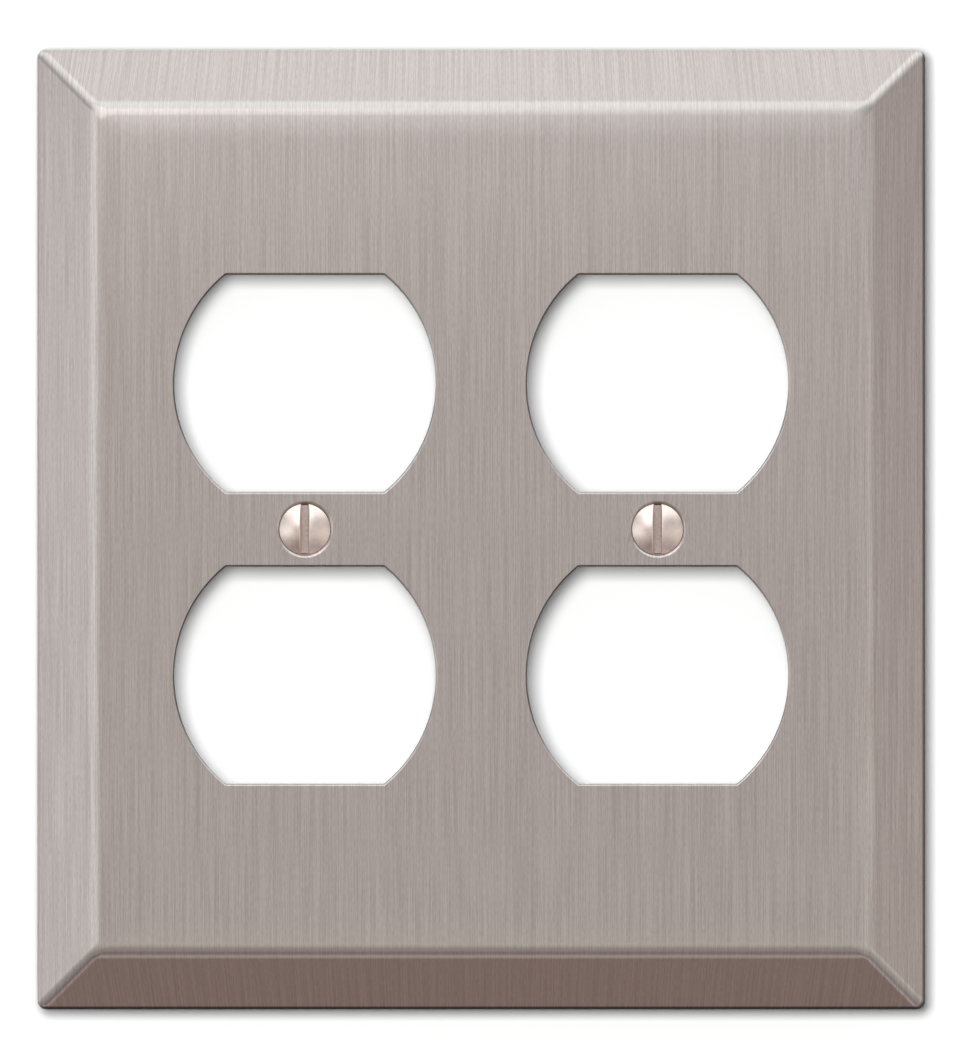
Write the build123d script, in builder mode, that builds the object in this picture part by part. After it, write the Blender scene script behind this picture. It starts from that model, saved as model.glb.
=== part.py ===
from build123d import *
import os
from math import cos, radians, sqrt, tan

# Two-gang wall plate for two duplex receptacles, with its two captive screws.
# The back rim lies on the wall, in the plane y = 0, and the front faces -Y.
# A height is a distance from the wall towards the room, so a height h is at y = -h.

# Plate, pressed from sheet; each bend is given by its inside radius
plate_width = 116.0
plate_height = 125.5
plate_depth = 6.35
sheet = 0.8
edge_return = 1.5  # straight edge between the wall and the bevel
bevel_width = 7.5
corner_bend = 0.4  # at the plate's four corners, seen from the front
rim_bend = 0.2  # between the edge return and the bevel
crease_bend = 2.7  # between the bevel and the face
face_corner = 0.2  # corner radius left on the flat of the face
cut_edge_radius = 0.2  # front edges of the openings and of the countersinks

# Outlet openings: round sides, cut off by a flat at the top and at the bottom
gang_spacing = 46.04  # between the two columns of openings, and between the two screws
outlet_strip = 9.5  # between an upper and a lower opening
opening_width = 34.4
opening_height = 28.6
opening_side_radius = 18.4
opening_corner_radius = 0.4  # where a side meets a flat

# Screws: No. 6-32 UNC, slotted oval head
thread_diameter = 3.505
thread_pitch = 25.4 / 32
thread_angle = 60.0
screw_length = 12.7  # from the head's edge to the tip
tip_chamfer = 0.5
neck_undercut = 0.28  # how far the neck lies below the thread's crests
neck_length = 2.8
head_diameter = 6.65
head_angle = 82.0
head_rise = 0.9
head_setback = 0.2  # the head's edge lies this far behind the plate's face
slot_width = 1.1
slot_depth = 1.1

# Formed countersinks
seat_clearance = 0.05  # between the head's cone and the plate's, square to them
hole_clearance = 0.2  # round the thread
hole_land = 0.35  # straight part of the hole, behind its cone

# Retaining washers
washer_thickness = 0.6
washer_overlap = 2.05  # beyond the hole in the plate, all round
washer_running_clearance = 0.05  # round the neck
washer_axial_clearance = 0.05  # ahead of the thread

# Bends of the plate
bevel_angle = Vector(bevel_width, plate_depth - edge_return).get_angle(Vector(1, 0))
crease_turn = tan(radians(bevel_angle / 2))  # how far a bend's radius reaches, per unit of radius
rim_turn = tan(radians((90 - bevel_angle) / 2))

# Screw and hole radii; the plate's cone is the head's cone, moved out by the seat clearance
head_slope = tan(radians(head_angle / 2))
square_to_cone = 1 / cos(radians(head_angle / 2))
head_radius = head_diameter / 2
thread_radius = thread_diameter / 2
neck_radius = thread_radius - neck_undercut
hole_radius = thread_radius + hole_clearance
mouth_radius = head_radius + head_setback * head_slope + seat_clearance * square_to_cone

# Heights along a screw
head_height = plate_depth - head_setback
head_top = head_height + head_rise
neck_top = head_height - (head_radius - neck_radius) / head_slope
thread_top = neck_top - neck_length
tip_height = head_height - screw_length
washer_height = thread_top + washer_axial_clearance

# Thread form: a ridge whose crest is an eighth of the pitch wide, and whose root is a quarter of it
flank = tan(radians(thread_angle / 2))
crest_half_width = thread_pitch / 16
root_radius = thread_radius - (thread_pitch * 3 / 8 - crest_half_width) / flank
ridge_foot = 0.1  # how far the ridge reaches into the core
ridge_excess = 0.05  # how far it stands out before its crest is turned true
ridge_radius = thread_radius + ridge_excess
foot_half_width = crest_half_width + (thread_radius - root_radius + ridge_foot) * flank
top_half_width = crest_half_width - ridge_excess * flank

# The thread is made one pitch longer than the screw at both ends, then trimmed
thread_base = tip_height - thread_pitch
thread_run = thread_top + thread_pitch - thread_base


def pressed_form(inset):
    """The plate's outer form as a solid, or with an inset the hollow that lies that far inside it."""
    bend = sheet - inset
    rim_height = edge_return - inset * rim_turn
    border = bevel_width + inset * crease_turn
    fold_corner = face_corner + (crease_bend + bend) * crease_turn
    with BuildPart() as form:
        with BuildSketch(Plane.XZ):
            RectangleRounded(plate_width - 2 * inset, plate_height - 2 * inset, corner_bend + bend)
        extrude(amount=rim_height)
        with BuildSketch(Plane.XZ.offset(rim_height)):
            RectangleRounded(plate_width - 2 * inset, plate_height - 2 * inset, corner_bend + bend)
        with BuildSketch(Plane.XZ.offset(plate_depth - inset)):
            RectangleRounded(plate_width - 2 * border, plate_height - 2 * border, fold_corner)
        loft(ruled=True)
        fillet(form.faces().sort_by(Axis.Y)[0].edges(), crease_bend + bend)
        rim_edges = form.edges().group_by(Axis.Y)[-3]
        fillet(rim_edges, rim_bend + bend)
    return form.part


# One outlet opening
side_bulge = opening_side_radius - sqrt(opening_side_radius**2 - (opening_height / 2) ** 2)
half_flat = opening_width / 2 - side_bulge
with BuildSketch() as opening:
    with BuildLine():
        top_flat = Line((-half_flat, opening_height / 2), (half_flat, opening_height / 2))
        right_side = SagittaArc(top_flat @ 1, (half_flat, -opening_height / 2), side_bulge)
        bottom_flat = Line(right_side @ 1, (-half_flat, -opening_height / 2))
        SagittaArc(bottom_flat @ 1, top_flat @ 0, side_bulge)
    make_face()
    fillet(opening.vertices(), opening_corner_radius)

# Hollow behind the face, less the dimples that the countersinks press into it
dimple_height = plate_depth - (mouth_radius - hole_radius) / head_slope - hole_land
dimple_top = plate_depth - sheet / 2
dimple_wall = mouth_radius + sheet * square_to_cone  # the dimple's outer cone, carried on to the face
with BuildPart() as hollow:
    add(pressed_form(sheet))
    with Locations(Plane.XZ.offset(dimple_height)):
        with GridLocations(gang_spacing, 0, 2, 1):
            Cone(
                dimple_wall - (plate_depth - dimple_height) * head_slope,
                dimple_wall - (plate_depth - dimple_top) * head_slope,
                dimple_top - dimple_height,
                align=(Align.CENTER, Align.CENTER, Align.MIN),
                mode=Mode.SUBTRACT,
            )

# Plate
with BuildPart() as wall_plate:
    add(pressed_form(0))
    with BuildSketch(Plane.XZ):
        with GridLocations(gang_spacing, opening_height + outlet_strip, 2, 2):
            add(opening.sketch)
    extrude(amount=plate_depth, mode=Mode.SUBTRACT)
    with Locations(Plane.XZ.offset(plate_depth)):
        with GridLocations(gang_spacing, 0, 2, 1):
            CounterSinkHole(hole_radius, mouth_radius, counter_sink_angle=head_angle)
    fillet(wall_plate.faces().sort_by(Axis.Y)[0].inner_wires().edges(), cut_edge_radius)
    add(hollow.part, mode=Mode.SUBTRACT)

os.makedirs("parts", exist_ok=True)
wall_plate.part.label = "wall_plate"
export_step(wall_plate.part, "parts/wall_plate.step")

# Screws and their retaining washers
for side, x in (("left", -gang_spacing / 2), ("right", gang_spacing / 2)):
    section = Plane(origin=(x, 0, 0), x_dir=(1, 0, 0), z_dir=(0, 0, -1))  # radius, height
    centre_line = Axis((x, 0, 0), (0, -1, 0))
    with BuildPart() as screw:
        # Core, and a ridge wound round it from straight below the axis
        with BuildSketch(Plane.XZ.offset(thread_base)):
            with Locations((x, 0)):
                Circle(root_radius)
        extrude(amount=thread_run)
        with BuildLine():
            helix = Helix(
                thread_pitch,
                thread_run - thread_pitch,
                root_radius,
                center=(x, -thread_base - thread_pitch / 2, 0),
                direction=(0, -1, 0),
            )
        with BuildSketch(Plane(origin=helix @ 0, x_dir=(0, 0, -1), z_dir=helix % 0)):
            with BuildLine():
                Polyline(
                    (-ridge_foot, -foot_half_width),
                    (ridge_radius - root_radius, -top_half_width),
                    (ridge_radius - root_radius, top_half_width),
                    (-ridge_foot, foot_half_width),
                    close=True,
                )
            make_face()
        sweep(path=helix, is_frenet=True)
        with BuildSketch(Plane.XZ.offset(thread_base)):
            with Locations((x, 0)):
                Circle(thread_radius)
        extrude(amount=thread_run, mode=Mode.INTERSECT)
        # Chamfered tip and thread run-out
        with BuildSketch(section):
            with BuildLine():
                Polyline(
                    (0, tip_height),
                    (thread_radius - tip_chamfer, tip_height),
                    (ridge_radius, tip_height + tip_chamfer + ridge_excess),
                    (ridge_radius, thread_top - (ridge_radius - neck_radius)),
                    (neck_radius, thread_top),
                    (0, thread_top),
                    close=True,
                )
            make_face()
        revolve(axis=centre_line, mode=Mode.INTERSECT)
        # Neck and oval head
        with BuildSketch(section):
            with BuildLine():
                Polyline(
                    (0, head_top),
                    (0, thread_top),
                    (neck_radius, thread_top),
                    (neck_radius, neck_top),
                    (head_radius, head_height),
                )
                TangentArc((0, head_top), (head_radius, head_height), tangent=(1, 0))
            make_face()
        revolve(axis=centre_line)
        with BuildSketch(Plane.XZ.offset(head_top)):
            with Locations((x, 0)):
                Rectangle(slot_width, head_diameter)
        extrude(amount=-slot_depth, mode=Mode.SUBTRACT)
    screw.part.label = f"{side}_screw"
    export_step(screw.part, f"parts/{side}_screw.step")

    with BuildPart() as washer:
        with BuildSketch(Plane.XZ.offset(washer_height)):
            with Locations((x, 0)):
                Circle(hole_radius + washer_overlap)
                Circle(neck_radius + washer_running_clearance, mode=Mode.SUBTRACT)
        extrude(amount=washer_thickness)
    washer.part.label = f"{side}_retaining_washer"
    export_step(washer.part, f"parts/{side}_retaining_washer.step")
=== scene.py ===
from math import cos, radians, sin

import bpy
import numpy as np
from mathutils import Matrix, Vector
from mathutils.geometry import delaunay_2d_cdt


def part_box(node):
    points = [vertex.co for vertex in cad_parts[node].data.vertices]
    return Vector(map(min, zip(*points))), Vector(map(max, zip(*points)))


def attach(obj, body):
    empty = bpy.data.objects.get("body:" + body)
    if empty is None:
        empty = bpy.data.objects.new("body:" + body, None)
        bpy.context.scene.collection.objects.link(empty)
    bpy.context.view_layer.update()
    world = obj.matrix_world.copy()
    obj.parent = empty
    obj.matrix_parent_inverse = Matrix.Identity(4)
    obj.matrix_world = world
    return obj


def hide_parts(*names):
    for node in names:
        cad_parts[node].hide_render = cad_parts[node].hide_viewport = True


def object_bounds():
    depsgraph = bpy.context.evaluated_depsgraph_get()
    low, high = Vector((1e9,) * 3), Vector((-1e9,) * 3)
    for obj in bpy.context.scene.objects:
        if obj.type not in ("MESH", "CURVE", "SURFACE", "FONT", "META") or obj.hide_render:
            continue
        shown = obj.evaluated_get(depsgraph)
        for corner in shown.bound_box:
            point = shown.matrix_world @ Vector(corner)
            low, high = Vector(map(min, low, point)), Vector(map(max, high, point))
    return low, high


# Two-gang wall plate of brushed nickel-plated steel, with its two slotted screws and their washers.
# The back rim lies in the plane y = 0 and the front faces -Y. A height is a distance in front of that plane.

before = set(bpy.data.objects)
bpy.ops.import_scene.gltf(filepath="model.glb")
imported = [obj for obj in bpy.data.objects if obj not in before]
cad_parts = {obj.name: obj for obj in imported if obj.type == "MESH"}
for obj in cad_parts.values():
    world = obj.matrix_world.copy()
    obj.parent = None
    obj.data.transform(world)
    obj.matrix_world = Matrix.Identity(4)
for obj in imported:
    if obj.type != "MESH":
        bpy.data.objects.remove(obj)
cadBounds = [list(corner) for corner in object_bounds()]
plateLow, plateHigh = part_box("wall_plate")
mm = 0.001


def linear(hexColour):
    parts = [int(hexColour[i:i + 2], 16) / 255 for i in (1, 3, 5)]
    return tuple(p / 12.92 if p <= 0.04045 else ((p + 0.055) / 1.055) ** 2.4 for p in parts) + (1.0,)


def addNode(tree, kind, settings, inputs):
    node = tree.nodes.new(kind)
    for name, value in settings.items():
        setattr(node, name, value)
    for name, value in inputs.items():
        if isinstance(value, bpy.types.NodeSocket):
            tree.links.new(value, node.inputs[name])
        else:
            node.inputs[name].default_value = value
    return node.outputs


def newMaterial(name):
    material = bpy.data.materials.new(name)
    material.use_nodes = True
    material.node_tree.nodes.clear()
    return material, material.node_tree


def setStops(outputs, stops):
    ramp = outputs[0].node.color_ramp
    ramp.interpolation = "LINEAR"
    while len(ramp.elements) < len(stops):
        ramp.elements.new(0.5)
    for element, (place, colour) in zip(ramp.elements, stops):
        element.position, element.color = place, colour
    return outputs


def bentLine(corners, bends, step=6):
    # A line through the corners, each inner corner replaced by an arc of its bend radius that is
    # tangent to both sides. Gives the points, the normal on the right of the way, and the length.
    corners = np.array(corners, float)
    sides = np.diff(corners, axis=0)
    sides /= np.linalg.norm(sides, axis=1)[:, None]
    points, ways = [corners[:1]], [sides[:1]]
    for corner, before, after, bend in zip(corners[1:-1], sides[:-1], sides[1:], bends):
        turn = np.arctan2(before[0] * after[1] - before[1] * after[0], before @ after)
        steps = max(2, int(np.ceil(abs(np.degrees(turn)) / step)))
        angles = np.linspace(0, turn, steps + 1)
        way = np.stack([before[0] * np.cos(angles) - before[1] * np.sin(angles),
                        before[0] * np.sin(angles) + before[1] * np.cos(angles)], 1)
        right = np.stack([way[:, 1], -way[:, 0]], 1) * np.sign(turn)
        start = corner - before * bend * np.tan(abs(turn) / 2)
        points.append(start - right[0] * bend + right * bend)
        ways.append(way)
    points = np.vstack(points + [corners[-1:]])
    ways = np.vstack(ways + [sides[-1:]])
    normals = np.stack([ways[:, 1], -ways[:, 0]], 1)
    length = np.append(0, np.cumsum(np.linalg.norm(np.diff(points, axis=0), axis=1)))
    return points, normals, length


def offsetCorners(corners, distance):
    # Each corner moves along the bisector of its sides' normals, so that both sides move by the distance.
    corners = np.array(corners, float)
    sides = np.diff(corners, axis=0)
    sides /= np.linalg.norm(sides, axis=1)[:, None]
    normals = np.stack([sides[:, 1], -sides[:, 0]], 1)
    before, after = np.vstack([normals[:1], normals]), np.vstack([normals, normals[-1:]])
    share = 1 + (before * after).sum(1, keepdims=True)
    return corners - distance * (before + after) / share


def gridFaces(rows, columns, closed):
    # Four corners of every cell between two rows and two columns; closed joins the last column to the first.
    cells = columns if closed else columns - 1
    row, column = np.meshgrid(np.arange(rows - 1), np.arange(cells), indexing="ij")
    after = (column + 1) % columns
    here, below = row * columns, (row + 1) * columns
    return np.stack([here + column, below + column, below + after, here + after], -1).reshape(-1, 4)


def carried(profile, loop, finish=0, mapShare=1.0):
    # The profile (distance across, height) carried round a loop. loop gives, for a distance, the loop's
    # places in the plane of the wall, the unit ways in which the distance grows, and how much a mitre
    # flattens the slope there. The map unrolls the profile, as the sheet was before it was pressed.
    (points, normals, length) = profile
    places = np.stack([loop(j, across)[0] for j, across in enumerate(points[:, 0])])
    unrolled = np.stack([loop(j, points[0, 0] - share)[0] for j, share in enumerate(length * mapShare)])
    ways, mitre = loop(0, points[0, 0])[1:]
    rows, columns = places.shape[:2]
    co = np.zeros((rows, columns, 3))
    co[..., 0], co[..., 1], co[..., 2] = places[..., 0], -points[:, 1, None], places[..., 1]
    no = np.zeros_like(co)
    no[..., 0] = normals[:, :1] * ways[:, 0]
    no[..., 1] = -normals[:, 1:] * mitre
    no[..., 2] = normals[:, :1] * ways[:, 1]
    return {"co": co.reshape(-1, 3), "no": no.reshape(-1, 3), "map": unrolled.reshape(-1, 2),
            "faces": gridFaces(rows, columns, True), "finish": finish, "first": places[0], "last": places[-1]}


def filled(loops, height, facing, finish=0):
    # The flat sheet between the first loop and the others, in triangles on the loops' own points.
    places = np.vstack(loops)
    ends = np.cumsum([len(loop) for loop in loops])
    following = np.arange(1, len(places) + 1)
    following[ends - 1] = ends - [len(loop) for loop in loops]
    edges = np.stack([np.arange(len(places)), following], 1).tolist()
    found = delaunay_2d_cdt([Vector(p) for p in places.tolist()], edges, [], 0, 1e-6, True)
    source = np.array([ids[0] for ids in found[3]])
    faces = source[np.array(found[2])]
    # the holes are convex, so a triangle with all its corners on one of them lies in it
    owner = np.searchsorted(ends, faces, side="right")
    faces = faces[(owner[:, 0] != owner[:, 1]) | (owner[:, 1] != owner[:, 2]) | (owner[:, 0] == 0)]
    co = np.stack([places[:, 0], np.full(len(places), -height), places[:, 1]], 1)
    no = np.tile([0.0, -facing, 0.0], (len(co), 1))
    return {"co": co, "no": no, "map": places, "faces": faces, "finish": finish}


def makePiece(name, parts, materials, body, node):
    # Joins the parts (in millimetres), welds points that lie together, and turns every face to its normals.
    co = np.vstack([p["co"] for p in parts]) * mm
    no = np.vstack([p["no"] for p in parts])
    no = no / np.maximum(np.linalg.norm(no, axis=1)[:, None], 1e-12)
    uv = np.vstack([p["map"] for p in parts]) * mm
    starts = np.cumsum([0] + [len(p["co"]) for p in parts])
    grid = np.round(co / 1e-7).astype(np.int64)
    first, welded = np.unique(grid, axis=0, return_index=True, return_inverse=True)[1:]
    welded = welded.ravel()
    corners, sizes, finishes = [], [], []
    for start, part in zip(starts, parts):
        faces = part["faces"] + start
        across = co[faces[:, 2]] - co[faces[:, 0]]
        other = co[faces[:, -1]] - co[faces[:, 1]]
        if (np.cross(across, other) * no[faces].sum(1)).sum() < 0:
            faces = faces[:, ::-1]
        same = welded[faces] == np.roll(welded[faces], -1, axis=1)
        count = same.sum(1)
        whole, pinched = faces[count == 0], faces[count == 1]
        if faces.shape[1] == 4:
            pinched = pinched[~same[count == 1]].reshape(-1, 3)
            corners.append(pinched.ravel())
            sizes += [3] * len(pinched)
            finishes += [part["finish"]] * len(pinched)
        corners.append(whole.ravel())
        sizes += [faces.shape[1]] * len(whole)
        finishes += [part["finish"]] * len(whole)
    corners, sizes = np.concatenate(corners), np.array(sizes)
    mesh = bpy.data.meshes.new(name)
    mesh.vertices.add(len(first))
    mesh.vertices.foreach_set("co", co[first].astype(np.float32).ravel())
    mesh.loops.add(len(corners))
    mesh.loops.foreach_set("vertex_index", welded[corners].astype(np.int32))
    mesh.polygons.add(len(sizes))
    mesh.polygons.foreach_set("loop_start", (np.cumsum(sizes) - sizes).astype(np.int32))
    mesh.polygons.foreach_set("material_index", np.array(finishes, np.int32))
    mesh.update(calc_edges=True)
    mesh.uv_layers.new(name="sheetMap").uv.foreach_set("vector", uv[corners].astype(np.float32).ravel())
    mesh.polygons.foreach_set("use_smooth", np.ones(len(sizes), bool))
    mesh.set_sharp_from_angle(angle=radians(35))
    shaded = np.concatenate([np.full(len(p["co"]), p.get("shaded", True)) for p in parts])
    mesh.normals_split_custom_set((no * shaded[:, None])[corners].astype(np.float32))
    mesh.validate()
    piece = bpy.data.objects.new(name, mesh)
    bpy.context.scene.collection.objects.link(piece)
    for material in materials:
        mesh.materials.append(material)
    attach(piece, body)
    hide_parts(node)
    print(f"{name}: {len(mesh.polygons)} faces")
    return piece


studio = {
    "middle": (-0.29, 1.08), "viewHeight": 136.0, "distance": 4000.0,
    "wallSize": 1200.0, "floorDrop": 300.0, "wallGap": 0.05,
    "wallWhite": 0.28, "floorWhite": 0.85,
    # where the room darkens: backwards, right and low, and the low screen on the right
    "edgeShade": 0.85, "behindFrom": (-0.3, 0.2), "slantFrom": (-0.15, 0.35), "screenFrom": (1.2, 1.4),
}

camera = bpy.data.objects.new("camera", bpy.data.cameras.new("camera"))
camera.location = (studio["middle"][0] * mm, plateLow.y - studio["distance"] * mm, studio["middle"][1] * mm)
camera.rotation_euler = (radians(90), 0, 0)
camera.data.sensor_width = 36.0
camera.data.lens = 36.0 * studio["distance"] / studio["viewHeight"]
camera.data.clip_end = 50.0
bpy.context.scene.collection.objects.link(camera)
bpy.context.scene.camera = camera
bpy.context.scene.view_settings.view_transform = "Standard"

# Each light is a soft box that faces the plate: degrees to the right, degrees up, distance and side in
# millimetres, watts, colour. The wall has one of its own, which draws the plate's soft shadow on it.
lights = {
    "upperFrontBox": (0, 24, 520, 300, 0.159, (0.75, 0.92, 0.98)),
    "upperLeftBox": (-18, 22, 500, 200, 0.258, (0.92, 0.89, 0.92)),
    "leftBox": (-46, 0, 500, 260, 0.140, (0.88, 0.99, 1.00)),
    "topLeftBox": (-40, 40, 600, 300, 0.035, (0.95, 1.0, 1.0)),
    "wallBox": (-3.7, 3.7, 1500, 330, 72.0, (1.0, 1.0, 1.0)),
}
boxes = {}

for name, (right, up, distance, side, watts, colour) in lights.items():
    lamp = bpy.data.lights.new(name, "AREA")
    lamp.size, lamp.energy, lamp.color = side * mm, watts, colour
    box = bpy.data.objects.new(name, lamp)
    turn, rise = radians(right), radians(up)
    way = Vector((sin(turn) * cos(rise), -cos(turn) * cos(rise), sin(rise)))
    box.location = way * distance * mm
    box.rotation_euler = way.to_track_quat("Z", "Y").to_euler()
    box.visible_camera = False
    bpy.context.scene.collection.objects.link(box)
    boxes[name] = box

# The room's glow by height, -1 straight below and 1 straight above, and what each side of it adds,
# -1 left and 1 right. The stops were solved for the tones wanted on the plate.
roomByHeight = [
    (-1, (0.000, 0.000, 0.000)), (-0.9, (0.119, 0.000, 0.000)), (-0.8, (0.633, 0.596, 0.503)),
    (-0.7, (0.160, 0.076, 0.111)), (-0.62, (0.024, 0.012, 0.026)), (-0.54, (0.335, 0.303, 0.291)),
    (-0.4, (0.269, 0.206, 0.176)), (-0.2, (0.580, 0.602, 0.536)), (0, (0.528, 0.473, 0.481)),
    (0.2, (0.190, 0.175, 0.175)), (0.4, (0.345, 0.345, 0.345)), (0.6, (1.229, 1.292, 1.316)),
    (0.75, (1.347, 1.479, 1.500)), (0.88, (0.949, 0.946, 0.968)), (1, (0.882, 0.941, 0.977)),
]
roomBySide = [
    (-1, (0.413, 0.435, 0.465)), (-0.9, (0.190, 0.219, 0.230)), (-0.75, (0.079, 0.115, 0.143)),
    (-0.6, (0.261, 0.291, 0.345)), (-0.4, (0.058, 0.065, 0.050)), (-0.2, (0.000, 0.000, 0.000)),
    (0.2, (0.289, 0.298, 0.299)), (0.4, (0.156, 0.196, 0.258)), (0.6, (0.305, 0.282, 0.260)),
    (0.75, (0.462, 0.542, 0.561)), (0.9, (0.113, 0.082, 0.054)), (1, (0.000, 0.000, 0.000)),
]
world = bpy.data.worlds.new("studioRoom")
bpy.context.scene.world = world
world.use_nodes = True
room = world.node_tree
room.nodes.clear()
way = addNode(room, "ShaderNodeTexCoord", {}, {})["Generated"]
axes = addNode(room, "ShaderNodeSeparateXYZ", {}, {"Vector": way})
glows = []
for axis, stops in (("Z", roomByHeight), ("X", roomBySide)):
    place = addNode(room, "ShaderNodeMapRange", {}, {"Value": axes[axis], "From Min": -1.0, "From Max": 1.0})[0]
    ramp = addNode(room, "ShaderNodeValToRGB", {}, {"Fac": place})
    glows.append(setStops(ramp, [((at + 1) / 2, colour + (1,)) for at, colour in stops])["Color"])
glow = addNode(room, "ShaderNodeMix", {"data_type": "RGBA", "blend_type": "ADD"},
               {0: 1.0, 6: glows[0], 7: glows[1]})[2]
# behind the plate, the room is dark to the right and below, so those edges show as a thin dark line
behind = addNode(room, "ShaderNodeMapRange", {}, {
    "Value": axes["Y"], "From Min": studio["behindFrom"][0], "From Max": studio["behindFrom"][1]})[0]
lowRight = addNode(room, "ShaderNodeMath", {"operation": "SUBTRACT"}, {0: axes["X"], 1: axes["Z"]})[0]
slant = addNode(room, "ShaderNodeMapRange", {}, {
    "Value": lowRight, "From Min": studio["slantFrom"][0], "From Max": studio["slantFrom"][1],
    "To Max": studio["edgeShade"]})[0]
shade = addNode(room, "ShaderNodeMath", {"operation": "MULTIPLY"}, {0: behind, 1: slant})[0]
# and a dark screen stands low on the right, which draws the rings round the screws
screen = addNode(room, "ShaderNodeMapRange", {}, {
    "Value": lowRight, "From Min": studio["screenFrom"][0], "From Max": studio["screenFrom"][1],
    "To Max": studio["edgeShade"]})[0]
shade = addNode(room, "ShaderNodeMath", {"operation": "MAXIMUM"}, {0: shade, 1: screen})[0]
glow = addNode(room, "ShaderNodeMix", {"data_type": "RGBA"}, {0: shade, 6: glow, 7: (0.0, 0.0, 0.0, 1.0)})[2]
lit = addNode(room, "ShaderNodeBackground", {}, {"Color": glow, "Strength": 1.0})[0]
plain = addNode(room, "ShaderNodeBackground", {}, {"Color": (1, 1, 1, 1), "Strength": 1.0})[0]
seen = addNode(room, "ShaderNodeLightPath", {}, {})["Is Camera Ray"]
air = addNode(room, "ShaderNodeMixShader", {}, {0: seen, 1: lit, 2: plain})[0]
addNode(room, "ShaderNodeOutputWorld", {}, {"Surface": air})

# Wall and floor: matt, seen only from their front, so the plate can be looked at from behind too.
# The plate rests on the wall by the tips of its screws.
def stageSheet(name, white, corners):
    material, tree = newMaterial(name + "MattPaint")
    back = addNode(tree, "ShaderNodeNewGeometry", {}, {})["Backfacing"]
    paint = addNode(tree, "ShaderNodeBsdfDiffuse", {}, {"Color": (white,) * 3 + (1,)})[0]
    clear = addNode(tree, "ShaderNodeBsdfTransparent", {}, {})[0]
    surface = addNode(tree, "ShaderNodeMixShader", {}, {0: back, 1: paint, 2: clear})[0]
    addNode(tree, "ShaderNodeOutputMaterial", {}, {"Surface": surface})
    mesh = bpy.data.meshes.new(name)
    mesh.from_pydata([[c * mm for c in corner] for corner in corners], [], [(0, 1, 2, 3)])
    mesh.materials.append(material)
    sheet = bpy.data.objects.new(name, mesh)
    bpy.context.scene.collection.objects.link(sheet)
    sheet.visible_diffuse = sheet.visible_glossy = sheet.visible_transmission = sheet.visible_shadow = False
    return sheet


reach, drop, wallAt = studio["wallSize"], studio["floorDrop"], cadBounds[1][1] / mm + studio["wallGap"]
wall = stageSheet("wall", studio["wallWhite"],
                  [(-reach, wallAt, -drop), (reach, wallAt, -drop),
                   (reach, wallAt, reach), (-reach, wallAt, reach)])
stageSheet("floor", studio["floorWhite"],
           [(-reach, -reach, -drop), (reach, -reach, -drop),
            (reach, wallAt, -drop), (-reach, wallAt, -drop)])
wallOnly = bpy.data.collections.new("wallOnly")
wallOnly.objects.link(wall)
boxes["wallBox"].light_linking.receiver_collection = wallOnly
print("camera, lights and stage are set")


# Brushed nickel on steel: nickel plate over a face ground with a belt, then satin lacquered. The
# upright scratches spread its gloss sideways, and leave fine light and dark streaks of a warm grey. Real ones
# are well under 0.1 mm wide, so they are drawn as coarse as they need to show.
brushed = {
    "light": "#D0C7C2", "dark": "#B9AFAA",
    "streakWidth": 0.13, "streakLength": 14.0,
    "tintWidth": 0.7, "tintLength": 60.0,
    "nickWidth": 0.11, "nickLength": 0.9,
    "tintShare": 0.4, "nickShare": 0.5, "stops": (0.3, 0.7),
    "roughness": (0.285, 0.325), "anisotropic": 0.75,
    "scratchDepth": 0.001,
}


def streaks(tree, place, width, length, detail):
    scale = (1 / (width * mm), 1 / (length * mm), 1.0)
    scaled = addNode(tree, "ShaderNodeMapping", {}, {"Vector": place, "Scale": scale})[0]
    return addNode(tree, "ShaderNodeTexNoise", {"noise_dimensions": "2D"},
                   {"Vector": scaled, "Scale": 1.0, "Detail": detail, "Roughness": 0.6})[0]


def brushedNickel(name, s):
    material, tree = newMaterial(name)
    place = addNode(tree, "ShaderNodeUVMap", {"uv_map": "sheetMap"}, {})[0]
    fine = streaks(tree, place, s["streakWidth"], s["streakLength"], 3.0)
    broad = streaks(tree, place, s["tintWidth"], s["tintLength"], 2.0)
    nicks = streaks(tree, place, s["nickWidth"], s["nickLength"], 1.0)
    shade = fine
    for layer, share in ((broad, s["tintShare"]), (nicks, s["nickShare"])):
        centred = addNode(tree, "ShaderNodeMath", {"operation": "MULTIPLY_ADD"},
                          {0: layer, 1: share, 2: -share / 2})[0]
        shade = addNode(tree, "ShaderNodeMath", {"operation": "ADD"}, {0: shade, 1: centred})[0]
    low, high = s["stops"]
    colour = setStops(addNode(tree, "ShaderNodeValToRGB", {}, {"Fac": shade}),
                      [(low, linear(s["dark"])), (high, linear(s["light"]))])["Color"]
    rough = addNode(tree, "ShaderNodeMapRange", {}, {
        "Value": fine, "From Min": low, "From Max": high,
        "To Min": s["roughness"][1], "To Max": s["roughness"][0]})[0]
    bump = addNode(tree, "ShaderNodeBump", {}, {
        "Height": fine, "Distance": s["scratchDepth"] * mm, "Strength": 1.0})[0]
    tangent = addNode(tree, "ShaderNodeTangent", {"direction_type": "UV_MAP", "uv_map": "sheetMap"}, {})[0]
    metal = addNode(tree, "ShaderNodeBsdfPrincipled", {}, {
        "Base Color": colour, "Metallic": 1.0, "Roughness": rough,
        "Anisotropic": s["anisotropic"], "Tangent": tangent, "Normal": bump})[0]
    addNode(tree, "ShaderNodeOutputMaterial", {}, {"Surface": metal})
    return material


# Back of the plate: the same thin nickel on cold-rolled steel that was not ground, so it is duller and cloudy
rolled = {"light": "#B4ADA6", "dark": "#9A938C", "grain": 1.4, "roughness": (0.38, 0.5)}


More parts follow.
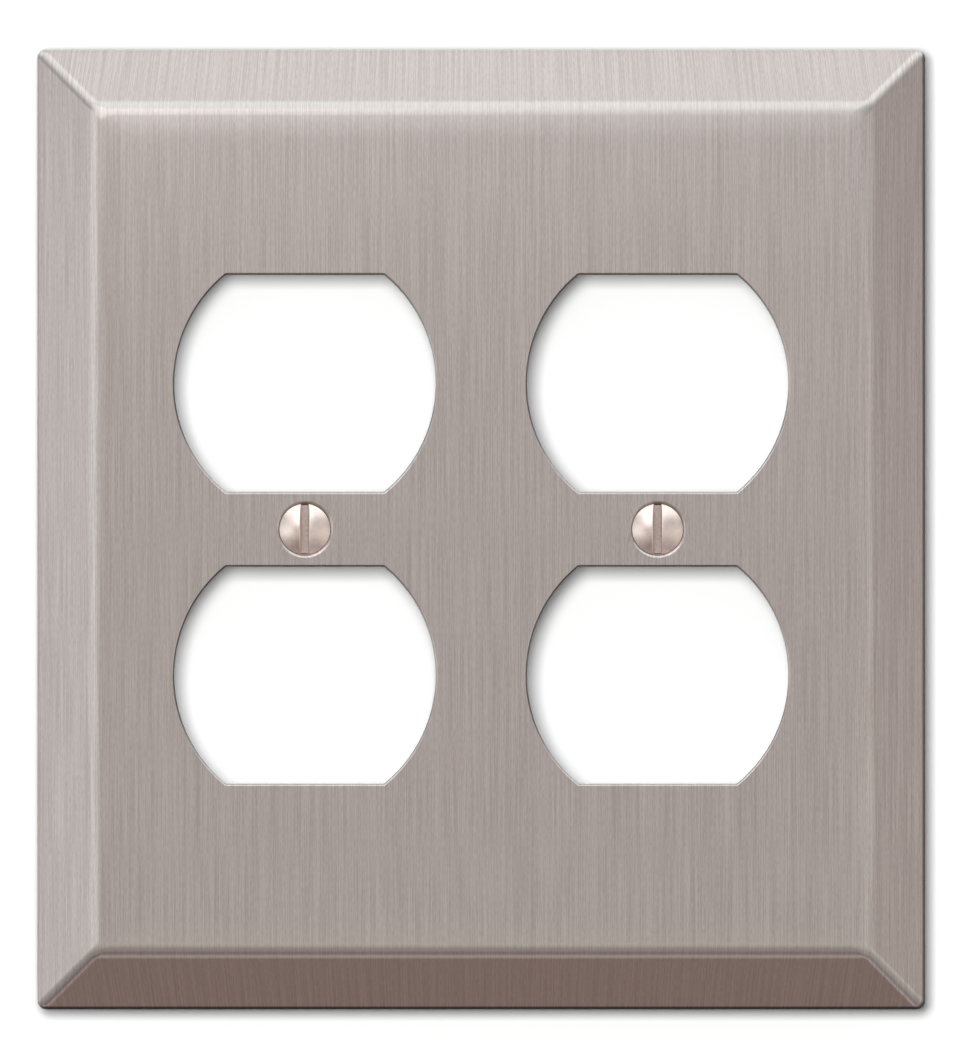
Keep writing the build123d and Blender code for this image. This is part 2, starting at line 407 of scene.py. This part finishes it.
def cloudy(tree, size, detail):
    place = addNode(tree, "ShaderNodeTexCoord", {}, {})["Object"]
    return addNode(tree, "ShaderNodeTexNoise", {},
                   {"Vector": place, "Scale": 1 / (size * mm), "Detail": detail})[0]


def rolledSteel(name, s):
    material, tree = newMaterial(name)
    grain = cloudy(tree, s["grain"], 6.0)
    colour = setStops(addNode(tree, "ShaderNodeValToRGB", {}, {"Fac": grain}),
                      [(0.3, linear(s["dark"])), (0.7, linear(s["light"]))])["Color"]
    rough = addNode(tree, "ShaderNodeMapRange", {}, {
        "Value": grain, "To Min": s["roughness"][0], "To Max": s["roughness"][1]})[0]
    metal = addNode(tree, "ShaderNodeBsdfPrincipled", {}, {
        "Base Color": colour, "Metallic": 1.0, "Roughness": rough})[0]
    addNode(tree, "ShaderNodeOutputMaterial", {}, {"Surface": metal})
    return material


frontFinish = brushedNickel("brushedNickelPlatedSteel", brushed)
backFinish = rolledSteel("dullNickelOnRolledSteel", rolled)
# The screws' nickel is brighter and pinker; the slot's wall and floor get a rougher finish and a darker colour,
# and that darker colour is painted shade in the slot
plated = {"light": "#F2E0D7", "dark": "#E6D2C8", "grain": 0.5, "roughness": (0.28, 0.36)}
slotPaintedShade = {"light": "#D2C1B8", "dark": "#BBA9A0", "grain": 0.35, "roughness": (0.3, 0.42)}
screwFinish = rolledSteel("brightNickelPlatedSteel", plated)
slotPaintedShadeFinish = rolledSteel("slotNickelWithPaintedShade", slotPaintedShade)

# Washers: natural nylon, moulded, milky and slightly glossy, a little light passing into it
nylon = {"light": "#EFEBDF", "dark": "#E2DCCB", "grain": 0.8, "roughness": (0.36, 0.46), "bump": 0.01}


def mouldedNylon(name, s):
    material, tree = newMaterial(name)
    grain = cloudy(tree, s["grain"], 5.0)
    colour = setStops(addNode(tree, "ShaderNodeValToRGB", {}, {"Fac": grain}),
                      [(0.35, linear(s["dark"])), (0.65, linear(s["light"]))])["Color"]
    rough = addNode(tree, "ShaderNodeMapRange", {}, {
        "Value": grain, "To Min": s["roughness"][0], "To Max": s["roughness"][1]})[0]
    bump = addNode(tree, "ShaderNodeBump", {}, {
        "Height": grain, "Distance": s["bump"] * mm, "Strength": 1.0})[0]
    plastic = addNode(tree, "ShaderNodeBsdfPrincipled", {}, {
        "Base Color": colour, "Roughness": rough, "IOR": 1.53, "Normal": bump,
        "Subsurface Weight": 0.25, "Subsurface Scale": 1.0,
        "Subsurface Radius": (0.6 * mm, 0.5 * mm, 0.4 * mm)})[0]
    addNode(tree, "ShaderNodeOutputMaterial", {}, {"Surface": plastic})
    return material


washerFinish = mouldedNylon("naturalNylon", nylon)
print("finishes are made")


plate = {
    "width": (plateHigh.x - plateLow.x) / mm, "height": (plateHigh.z - plateLow.z) / mm,
    "depth": -plateLow.y / mm,
    "sheet": 0.8, "edgeReturn": 1.5, "cutEdge": 0.1,
    "cornerRadius": 1.2, "innerCornerRadius": 0.4,
    # the face rolls over slowly before it bends into the bevel
    "flatFrom": 14.0, "rollFrom": 10.4, "rollBend": 92.0,
    "creaseAt": 7.6, "rollFall": 0.098, "creaseBend": 4.3, "rimBend": 1.0,
    "gang": 46.04, "openingWidth": 34.4, "openingHeight": 28.6, "openingStep": 38.1,
    # the openings' walls lean in by the taper towards the back, a little more than the CAD's straight ones
    "openingSideRadius": 18.4, "openingCorner": 0.4, "lipBend": 0.2, "lipReach": 0.3, "lipTaper": 0.15,
    "mouthBend": 0.45, "mouthRadius": 3.565, "holeRadius": 1.9525, "coneAngle": 41.0,
    "holeLand": 0.35, "dimpleReach": 4.3,
    "cornerSteps": 12, "sideSteps": 20,
}


def outlineLoop(p, radii):
    # A rectangle with round corners, inset by the distance; the corners keep their radius, so they meet in a
    # mitre whose slope is flatter by the sum of the corner's two ways.
    turn = np.radians(np.linspace(0, 90, p["cornerSteps"] + 1))
    share = (1 - np.cos(np.linspace(0, np.pi, p["sideSteps"] + 1)[1:-1])) / 2
    angles = np.concatenate([np.append(quarter + turn, np.full(len(share), quarter + turn[-1]))
                             for quarter in np.radians([0, 90, 180, 270])])
    ways = np.stack([np.cos(angles), np.sin(angles)], 1)
    signs = np.array([(1, 1), (-1, 1), (-1, -1), (1, -1)], float)

    def loop(j, inset):
        radius = radii[j]
        half = np.array([p["width"], p["height"]]) / 2 - inset - radius
        block = len(turn)
        rounds = [half * sign + radius * ways[i * (block + len(share)):][:block]
                  for i, sign in enumerate(signs)]
        places = []
        for i, arc in enumerate(rounds):
            start, end = arc[-1], rounds[(i + 1) % 4][0]
            places += [arc, start + (end - start) * share[:, None]]
        return np.vstack(places), -ways, np.abs(ways).sum(1)

    return loop


def openingLoop(p, x, z):
    # Two arcs for the round sides and two flats, joined by small arcs; the loop grows along its own normals.
    radius, corner, halfHeight = p["openingSideRadius"], p["openingCorner"], p["openingHeight"] / 2
    centre = p["openingWidth"] / 2 - radius
    cornerX = centre + np.sqrt((radius - corner) ** 2 - (halfHeight - corner) ** 2)
    limit = np.arctan2(halfHeight - corner, cornerX - centre)
    side = np.linspace(-limit, limit, 29)
    bend = np.linspace(limit, np.pi / 2, 7)[1:-1]
    flat = np.linspace(cornerX, -cornerX, 13)
    right = np.stack([centre + radius * np.cos(side), radius * np.sin(side)], 1)
    round1 = np.stack([cornerX + corner * np.cos(bend), halfHeight - corner + corner * np.sin(bend)], 1)
    top = np.stack([flat, np.full(len(flat), halfHeight)], 1)
    half = np.vstack([right, round1, top])
    angles = np.concatenate([side, bend, np.full(len(flat), np.pi / 2)])
    # the last corner before the left side mirrors the first
    round2 = (round1 * [-1, 1])[::-1]
    half = np.vstack([half, round2])
    angles = np.concatenate([angles, np.pi - bend[::-1]])
    places = np.vstack([half, -half]) + [x, z]
    angles = np.concatenate([angles, angles + np.pi])
    ways = np.stack([np.cos(angles), np.sin(angles)], 1)
    return lambda j, distance: (places + distance * ways, ways, 1.0)


def roundLoop(x, z, steps=96):
    angles = np.arange(steps) * 2 * np.pi / steps
    ways = np.stack([np.cos(angles), np.sin(angles)], 1)
    return lambda j, radius: (np.array([x, z]) + radius * ways, ways, 1.0)


def plateParts(p):
    depth, sheet, cut = p["depth"], p["sheet"], p["cutEdge"]
    backHeight = depth - sheet
    front = [(p["flatFrom"], depth), (p["rollFrom"], depth), (p["creaseAt"], depth - p["rollFall"]),
             (0, p["edgeReturn"]), (0, 0)]
    frontBends = [p["rollBend"], p["creaseBend"], p["rimBend"]]
    behind = offsetCorners(front, sheet)[::-1]
    behindBends = [bend - sheet for bend in frontBends[::-1]]
    behind[0, 1] = 0
    shell = bentLine(front + behind.tolist(), frontBends + [cut, cut] + behindBends)
    rimAt = np.argmin(np.abs(shell[0][:, 1]) + np.abs(shell[0][:, 0] - sheet / 2) * 0.01)
    radii = np.interp(shell[0][:, 0], [0, sheet], [p["cornerRadius"], p["innerCornerRadius"]])
    radii[:rimAt] = p["cornerRadius"]
    parts = [carried(shell, outlineLoop(p, radii))]
    # The cut edge and what lies behind it are not ground
    columns = len(parts[0]["first"])
    ground = parts[0]["faces"][:, 0] // columns < rimAt - 1
    parts = [{**parts[0], "faces": parts[0]["faces"][ground]},
             {**parts[0], "faces": parts[0]["faces"][~ground], "finish": 1}]
    lip = p["lipBend"]
    lipCorners = [(p["lipReach"], depth), (0, depth),
                  (-p["lipTaper"], backHeight), (p["lipReach"], backHeight)]
    lipLine = bentLine(lipCorners, [lip, 0.08], 15)
    holes = [carried(lipLine, openingLoop(p, x, z))
             for x in (-p["gang"] / 2, p["gang"] / 2) for z in (-p["openingStep"] / 2, p["openingStep"] / 2)]
    slope = np.tan(np.radians(p["coneAngle"]))
    dimpleWall = p["mouthRadius"] + sheet / np.cos(np.radians(p["coneAngle"]))
    landTop = depth - (p["mouthRadius"] - p["holeRadius"]) / slope
    dimpleBack = landTop - p["holeLand"]
    dimple = [(p["dimpleReach"], depth), (p["mouthRadius"], depth),
              (p["holeRadius"], landTop), (p["holeRadius"], dimpleBack),
              (dimpleWall - (depth - dimpleBack) * slope, dimpleBack),
              (dimpleWall - sheet * slope, backHeight), (p["dimpleReach"], backHeight)]
    dimpleLine = bentLine(dimple, [p["mouthBend"], 0.15, 0.08, 0.15, 0.5], 10)
    holes += [carried(dimpleLine, roundLoop(x, 0), 0, 0.5) for x in (-p["gang"] / 2, p["gang"] / 2)]
    parts += holes
    parts.append(filled([parts[0]["first"]] + [h["first"] for h in holes], depth, 1))
    parts.append(filled([parts[0]["last"]] + [h["last"] for h in holes], backHeight, -1, 1))
    return parts


makePiece("pressed_plate", plateParts(plate), [frontFinish, backFinish], "plate",
          "wall_plate")

screw = {
    "headRadius": 3.325, "headEdge": 6.15, "headRise": 0.9, "coneAngle": 41.0,
    # the slot is a little narrower than the CAD's, and its lips are rounder
    "slotHalf": 0.5, "slotDepth": 1.1, "lipBend": 0.2,
    "neckRadius": 1.4725, "neckTop": 4.019, "threadTop": 1.219, "tip": -6.55, "tipChamfer": 0.5,
    "threadRadius": 1.7525, "rootRadius": 1.323, "pitch": 25.4 / 32,
    "aroundHalf": 32, "acrossDome": 12, "lipSteps": 5, "wallSteps": 4, "floorSteps": 3, "rowsPerPitch": 8,
}


def gridPart(x, places, normals, shaded=True):
    # A grid of places (across, up, height) in the screw's own axes, moved to its axis. Where shaded is
    # off, the normals only say which side is out, and the mesh works out its shading.
    normals = np.broadcast_to(normals, places.shape)
    co = np.stack([places[..., 0] + x, -places[..., 2], places[..., 1]], -1)
    no = np.stack([normals[..., 0], -normals[..., 2], normals[..., 1]], -1)
    return {"co": co.reshape(-1, 3), "no": no.reshape(-1, 3), "map": places[..., :2].reshape(-1, 2),
            "faces": gridFaces(*places.shape[:2], False), "finish": 0, "shaded": shaded}


def headHalf(s, x, side):
    # Half of the head: dome, lip, slot wall, slot floor and the cone down to the floor's height. u runs
    # from one end of the slot to the other. The other half is this one turned round.
    radius, half, edge = s["headRadius"], s["slotHalf"], s["headEdge"]
    floor = edge + s["headRise"] - s["slotDepth"]
    slope = np.tan(np.radians(s["coneAngle"]))
    ball = (radius ** 2 + s["headRise"] ** 2) / (2 * s["headRise"])
    dome = lambda r: edge + s["headRise"] - ball + np.sqrt(ball ** 2 - r ** 2)
    cone = lambda h: radius - np.maximum(edge - h, 0) * slope
    u = np.sin(np.linspace(-np.pi / 2, np.pi / 2, s["aroundHalf"] + 1))[:, None]
    lip = s["lipBend"] * (1 - np.abs(u) ** 8)
    chordEnd = np.sqrt(radius ** 2 - half ** 2)
    chord = np.stack(np.broadcast_arrays(half + lip, u * chordEnd), -1)
    lipTop = dome(np.minimum(np.linalg.norm(chord, axis=-1), radius))
    angle = u * np.arccos(half / radius)
    rim = radius * np.stack([np.cos(angle), np.sin(angle)], -1)
    parts = []
    # dome: straight from the lip to the rim, at the dome's height
    share = np.linspace(0, 1, s["acrossDome"] + 1)[:, None]
    flat = chord + (rim - chord) * share
    reach = np.minimum(np.linalg.norm(flat, axis=-1), radius)
    up = np.sqrt(ball ** 2 - reach ** 2)
    parts.append((np.dstack([flat, dome(reach)]), np.dstack([flat, up])))
    # lip: a quarter turn from the wall to the dome, that narrows to nothing at the ends of the slot
    turn = np.linspace(0, np.pi / 2, s["lipSteps"] + 1)
    across = half + lip * (1 - np.cos(turn))
    fallen = lipTop - lip * (1 - np.sin(turn))
    lipPlaces = np.stack([across, np.broadcast_to(u * chordEnd, across.shape), fallen], -1)
    lipNormals = np.stack(np.broadcast_arrays(
        -np.cos(turn), np.sin(turn) * u * 0.4, np.sin(turn) + 0 * u), -1)
    parts.append((lipPlaces, lipNormals))
    # wall: down to the floor, its ends on the cone
    share = np.linspace(0, 1, s["wallSteps"] + 1)
    height = (lipTop - lip) * (1 - share) + floor * share
    end = np.sqrt(cone(edge * (1 - share) + floor * share) ** 2 - half ** 2)
    parts.append((np.stack([np.full(height.shape, half), u * end, height], -1), np.array([-1.0, 0, 0])))
    # floor: from the wall to the middle
    across = np.linspace(half, 0, s["floorSteps"] + 1)
    floorEnd = np.sqrt(cone(floor) ** 2 - across ** 2)
    shape = (len(u), len(across))
    floorPlaces = np.stack([np.broadcast_to(across, shape), u * floorEnd, np.full(shape, floor)], -1)
    parts.append((floorPlaces, np.array([0, 0, 1.0])))
    # cone: between the slot's ends
    height = edge * (1 - share) + floor * share
    angle = u * np.arccos(half / cone(height))
    coneWays = np.stack([np.cos(angle), np.sin(angle)], -1)
    parts.append((np.dstack([coneWays * cone(height)[:, None], np.broadcast_to(height, angle.shape)]),
                  np.dstack([coneWays, np.full(angle.shape, -slope)])))
    # the wall and the floor of the slot have the second finish, whose darker colour is painted shade in the
    # slot
    turned = np.array([side, side, 1.0])
    return [{**gridPart(x, places * turned, normals * turned), "finish": int(i in (2, 3))}
            for i, (places, normals) in enumerate(parts)]


def shank(s, x):
    # Cone, neck and thread as rings that share the head's own corners. A row of the thread follows the
    # helix: its height grows by one pitch in a turn, cut off at both ends. Its radius falls with the
    # distance from the crest, by the tangent of 60 degrees.
    half, floor = s["slotHalf"], s["headEdge"] + s["headRise"] - s["slotDepth"]
    slope = np.tan(np.radians(s["coneAngle"]))
    coneFloor = s["headRadius"] - (s["headEdge"] - floor) * slope
    u = np.sin(np.linspace(-np.pi / 2, np.pi / 2, s["aroundHalf"] + 1))
    side = u * np.arccos(half / coneFloor)
    end = np.arccos(np.linspace(half, -half, 2 * s["floorSteps"] + 1)[1:-1] / coneFloor)
    angles = np.concatenate([side, end, side + np.pi, end + np.pi])
    angles = np.append(angles, angles[0] + 2 * np.pi)
    ways = np.stack([np.cos(angles), np.sin(angles)], -1)
    ring = lambda radius, height: np.column_stack([ways * radius, np.full(len(ways), height)])
    neck = ring(s["neckRadius"], s["neckTop"])
    outward = np.column_stack([ways, np.zeros(len(ways))])
    parts = [gridPart(x, np.stack([ring(coneFloor, floor), neck]),
                      np.column_stack([ways, np.full(len(ways), -slope)])),
             gridPart(x, np.stack([neck, ring(s["neckRadius"], s["threadTop"])]), outward)]
    pitch, rows = s["pitch"], s["rowsPerPitch"]
    turns = (s["threadTop"] - s["tip"]) / pitch
    row = np.arange(-rows, int(np.ceil(turns * rows)) + 1)[:, None] / rows
    climbed = (row + angles / (2 * np.pi) - angles[0] / (2 * np.pi)) * pitch
    height = np.clip(s["tip"] + climbed, s["tip"], s["threadTop"])
    phase = ((height - s["tip"]) / pitch - angles / (2 * np.pi)) % 1.0
    away = np.abs(phase - 0.5) * pitch
    radius = s["threadRadius"] - (away - pitch / 16) * np.tan(np.radians(60))
    radius = np.clip(radius, s["rootRadius"], s["threadRadius"])
    radius = np.minimum(radius, s["threadRadius"] - s["tipChamfer"] + height - s["tip"])
    radius = np.minimum(radius, s["neckRadius"] + s["threadTop"] - height)
    thread = np.dstack([ways * radius[..., None], height])
    collar = np.stack([thread[-1], ring(s["neckRadius"], s["threadTop"])])
    point = np.stack([np.tile([0.0, 0.0, s["tip"]], (len(angles), 1)), thread[0]])
    down = np.array([0, 0, -1.0])
    return parts + [gridPart(x, thread, outward, False),
                    gridPart(x, collar, down), gridPart(x, point, down)]


washer = {"hole": 1.5225, "rim": 4.0025, "low": 1.269, "thickness": 0.6, "edge": 0.12}


def washerParts(w, x):
    # A flat ring with rounded edges, carried round the screw's axis
    low, high = w["low"], w["low"] + w["thickness"]
    middle = (w["hole"] + w["rim"]) / 2
    corners = [(middle, high), (w["hole"], high), (w["hole"], low),
               (w["rim"], low), (w["rim"], high), (middle, high)]
    return [carried(bentLine(corners, [w["edge"]] * 4, 15), roundLoop(x, 0, 64))]


for side in ("left", "right"):
    low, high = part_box(f"{side}_screw")
    x = (low.x + high.x) / 2 / mm
    makePiece(f"{side}_slotted_screw", headHalf(screw, x, 1) + headHalf(screw, x, -1) + shank(screw, x),
              # the second material paints shade into the slot's wall and floor
              [screwFinish, slotPaintedShadeFinish], f"{side}_screw", f"{side}_screw")
    makePiece(f"{side}_nylon_washer", washerParts(washer, x), [washerFinish], f"{side}_washer",
              f"{side}_retaining_washer")
